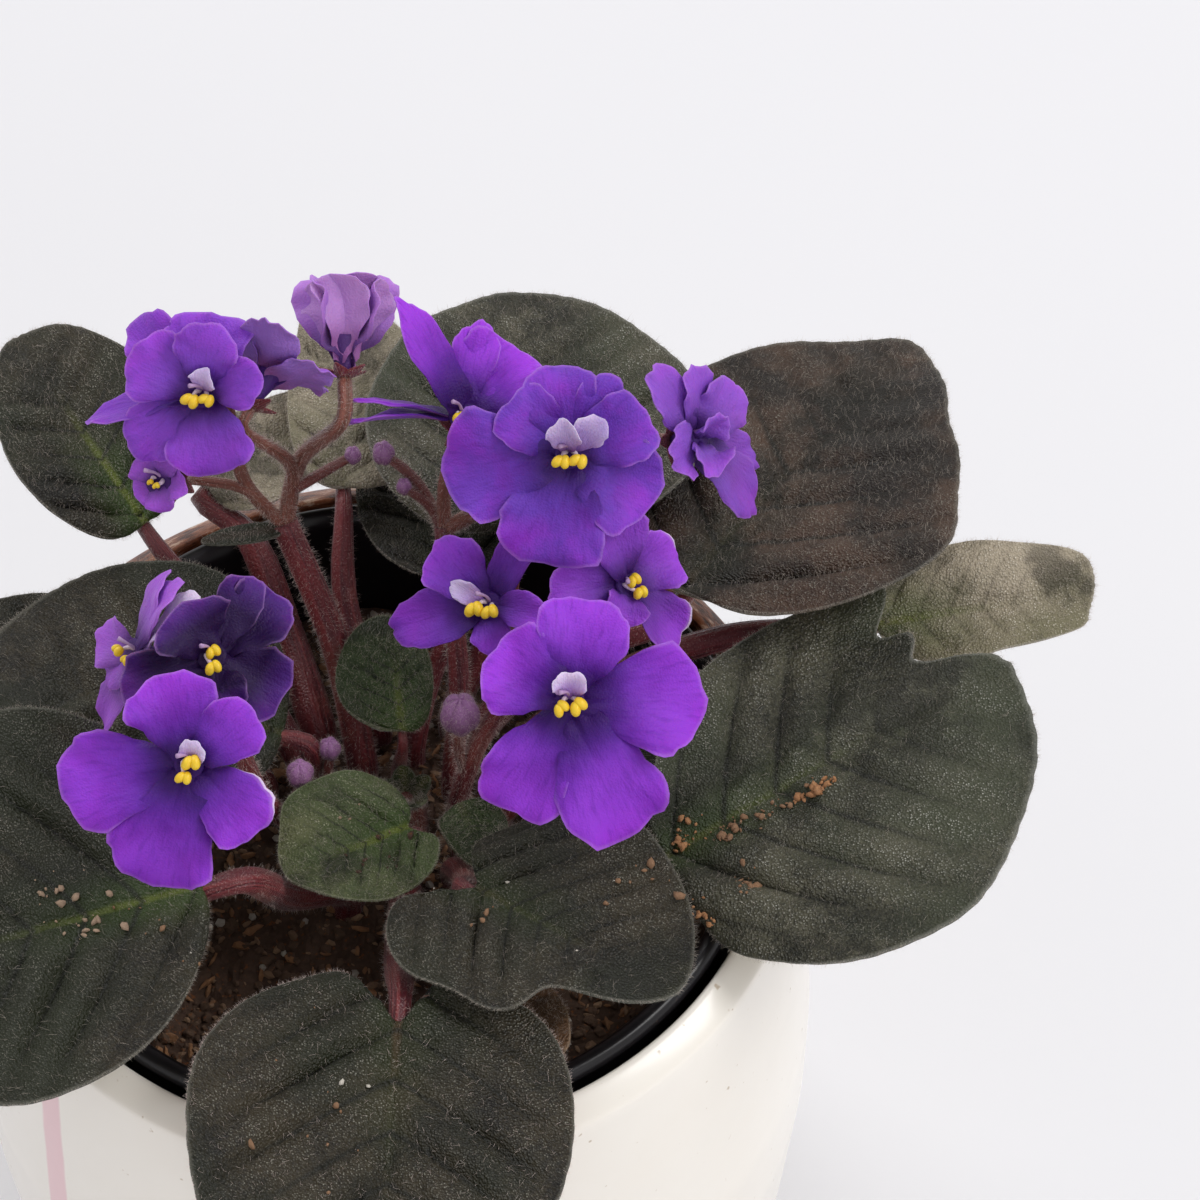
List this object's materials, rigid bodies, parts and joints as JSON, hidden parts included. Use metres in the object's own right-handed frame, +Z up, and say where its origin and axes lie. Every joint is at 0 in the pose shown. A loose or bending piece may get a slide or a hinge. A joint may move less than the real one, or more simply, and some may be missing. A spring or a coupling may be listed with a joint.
{
  "type": "potted african violet",
  "caption": "Flowering african violet with hairy leaves and violet blooms, in a black nursery pot inside a cream glazed cover pot.",
  "frame": {"origin": "the middle of the cover pot's foot, on the surface that it stands on", "axes": "+Z up, +X to the right and +Y away, seen from the front"},
  "size_m": [0.2074, 0.1994, 0.2015],
  "materials": {
    "glaze": "cream gloss glaze with a beige band and a soft pink stripe",
    "black_plastic": "moulded black plastic, glossy lip",
    "soil": "dark peat with bark and perlite",
    "leaf": "dark grey-green, short white hairs",
    "young_leaf": "fresh green, short white hairs",
    "withered_leaf": "dry brown leaf",
    "stalk": "pinkish brown to wine red, fine white hairs",
    "petal": "velvety violet with a darker throat and pale edge",
    "pale_petal": "pale lilac backs of petals",
    "anther": "yellow pollen sacs"
  },
  "bodies": {
    "root": {"cover_pot": "glaze", "nursery_pot": "black_plastic", "soil": "soil", "crown": "stalk", "leaf_back_left": "leaf", "leaf_back_small": "leaf", "leaf_back": "leaf", "leaf_back_centre": "leaf", "leaf_back_inner": "leaf", "leaf_back_right": "leaf", "leaf_right_curled": "leaf", "leaf_right_front": "leaf", "leaf_front_centre": "leaf", "leaf_front": "leaf", "leaf_front_left": "leaf", "leaf_left": "leaf", "leaf_far_left": "leaf", "leaf_right_inner": "leaf", "leaf_young_front": "young_leaf", "leaf_young_back": "young_leaf", "leaf_young_right": "young_leaf", "leaf_withered": "withered_leaf", "bloom_left_back": "petal", "bloom_left_back_anthers": "anther", "bloom_left_back_turned": "petal", "bloom_left_back_turned_anthers": "anther", "bloom_top_pale": "pale_petal", "bloom_back_centre": "petal", "bloom_back_centre_anthers": "anther", "bloom_centre_big": "petal", "bloom_centre_big_anthers": "anther", "bloom_right_back": "petal", "bloom_centre": "petal", "bloom_centre_anthers": "anther", "bloom_right": "petal", "bloom_right_anthers": "anther", "bloom_front_big": "petal", "bloom_front_big_anthers": "anther", "bloom_left_big": "petal", "bloom_left_big_anthers": "anther", "bloom_left_dark": "petal", "bloom_left_dark_anthers": "anther", "bloom_left_pale": "pale_petal", "bloom_left_pale_anthers": "anther", "bud_opening": "pale_petal", "bud_opening_anthers": "anther", "stalk_back_left": "stalk", "stalk_centre": "stalk", "stalk_right": "stalk", "stalk_left": "stalk"}
  },
  "joints": []
}
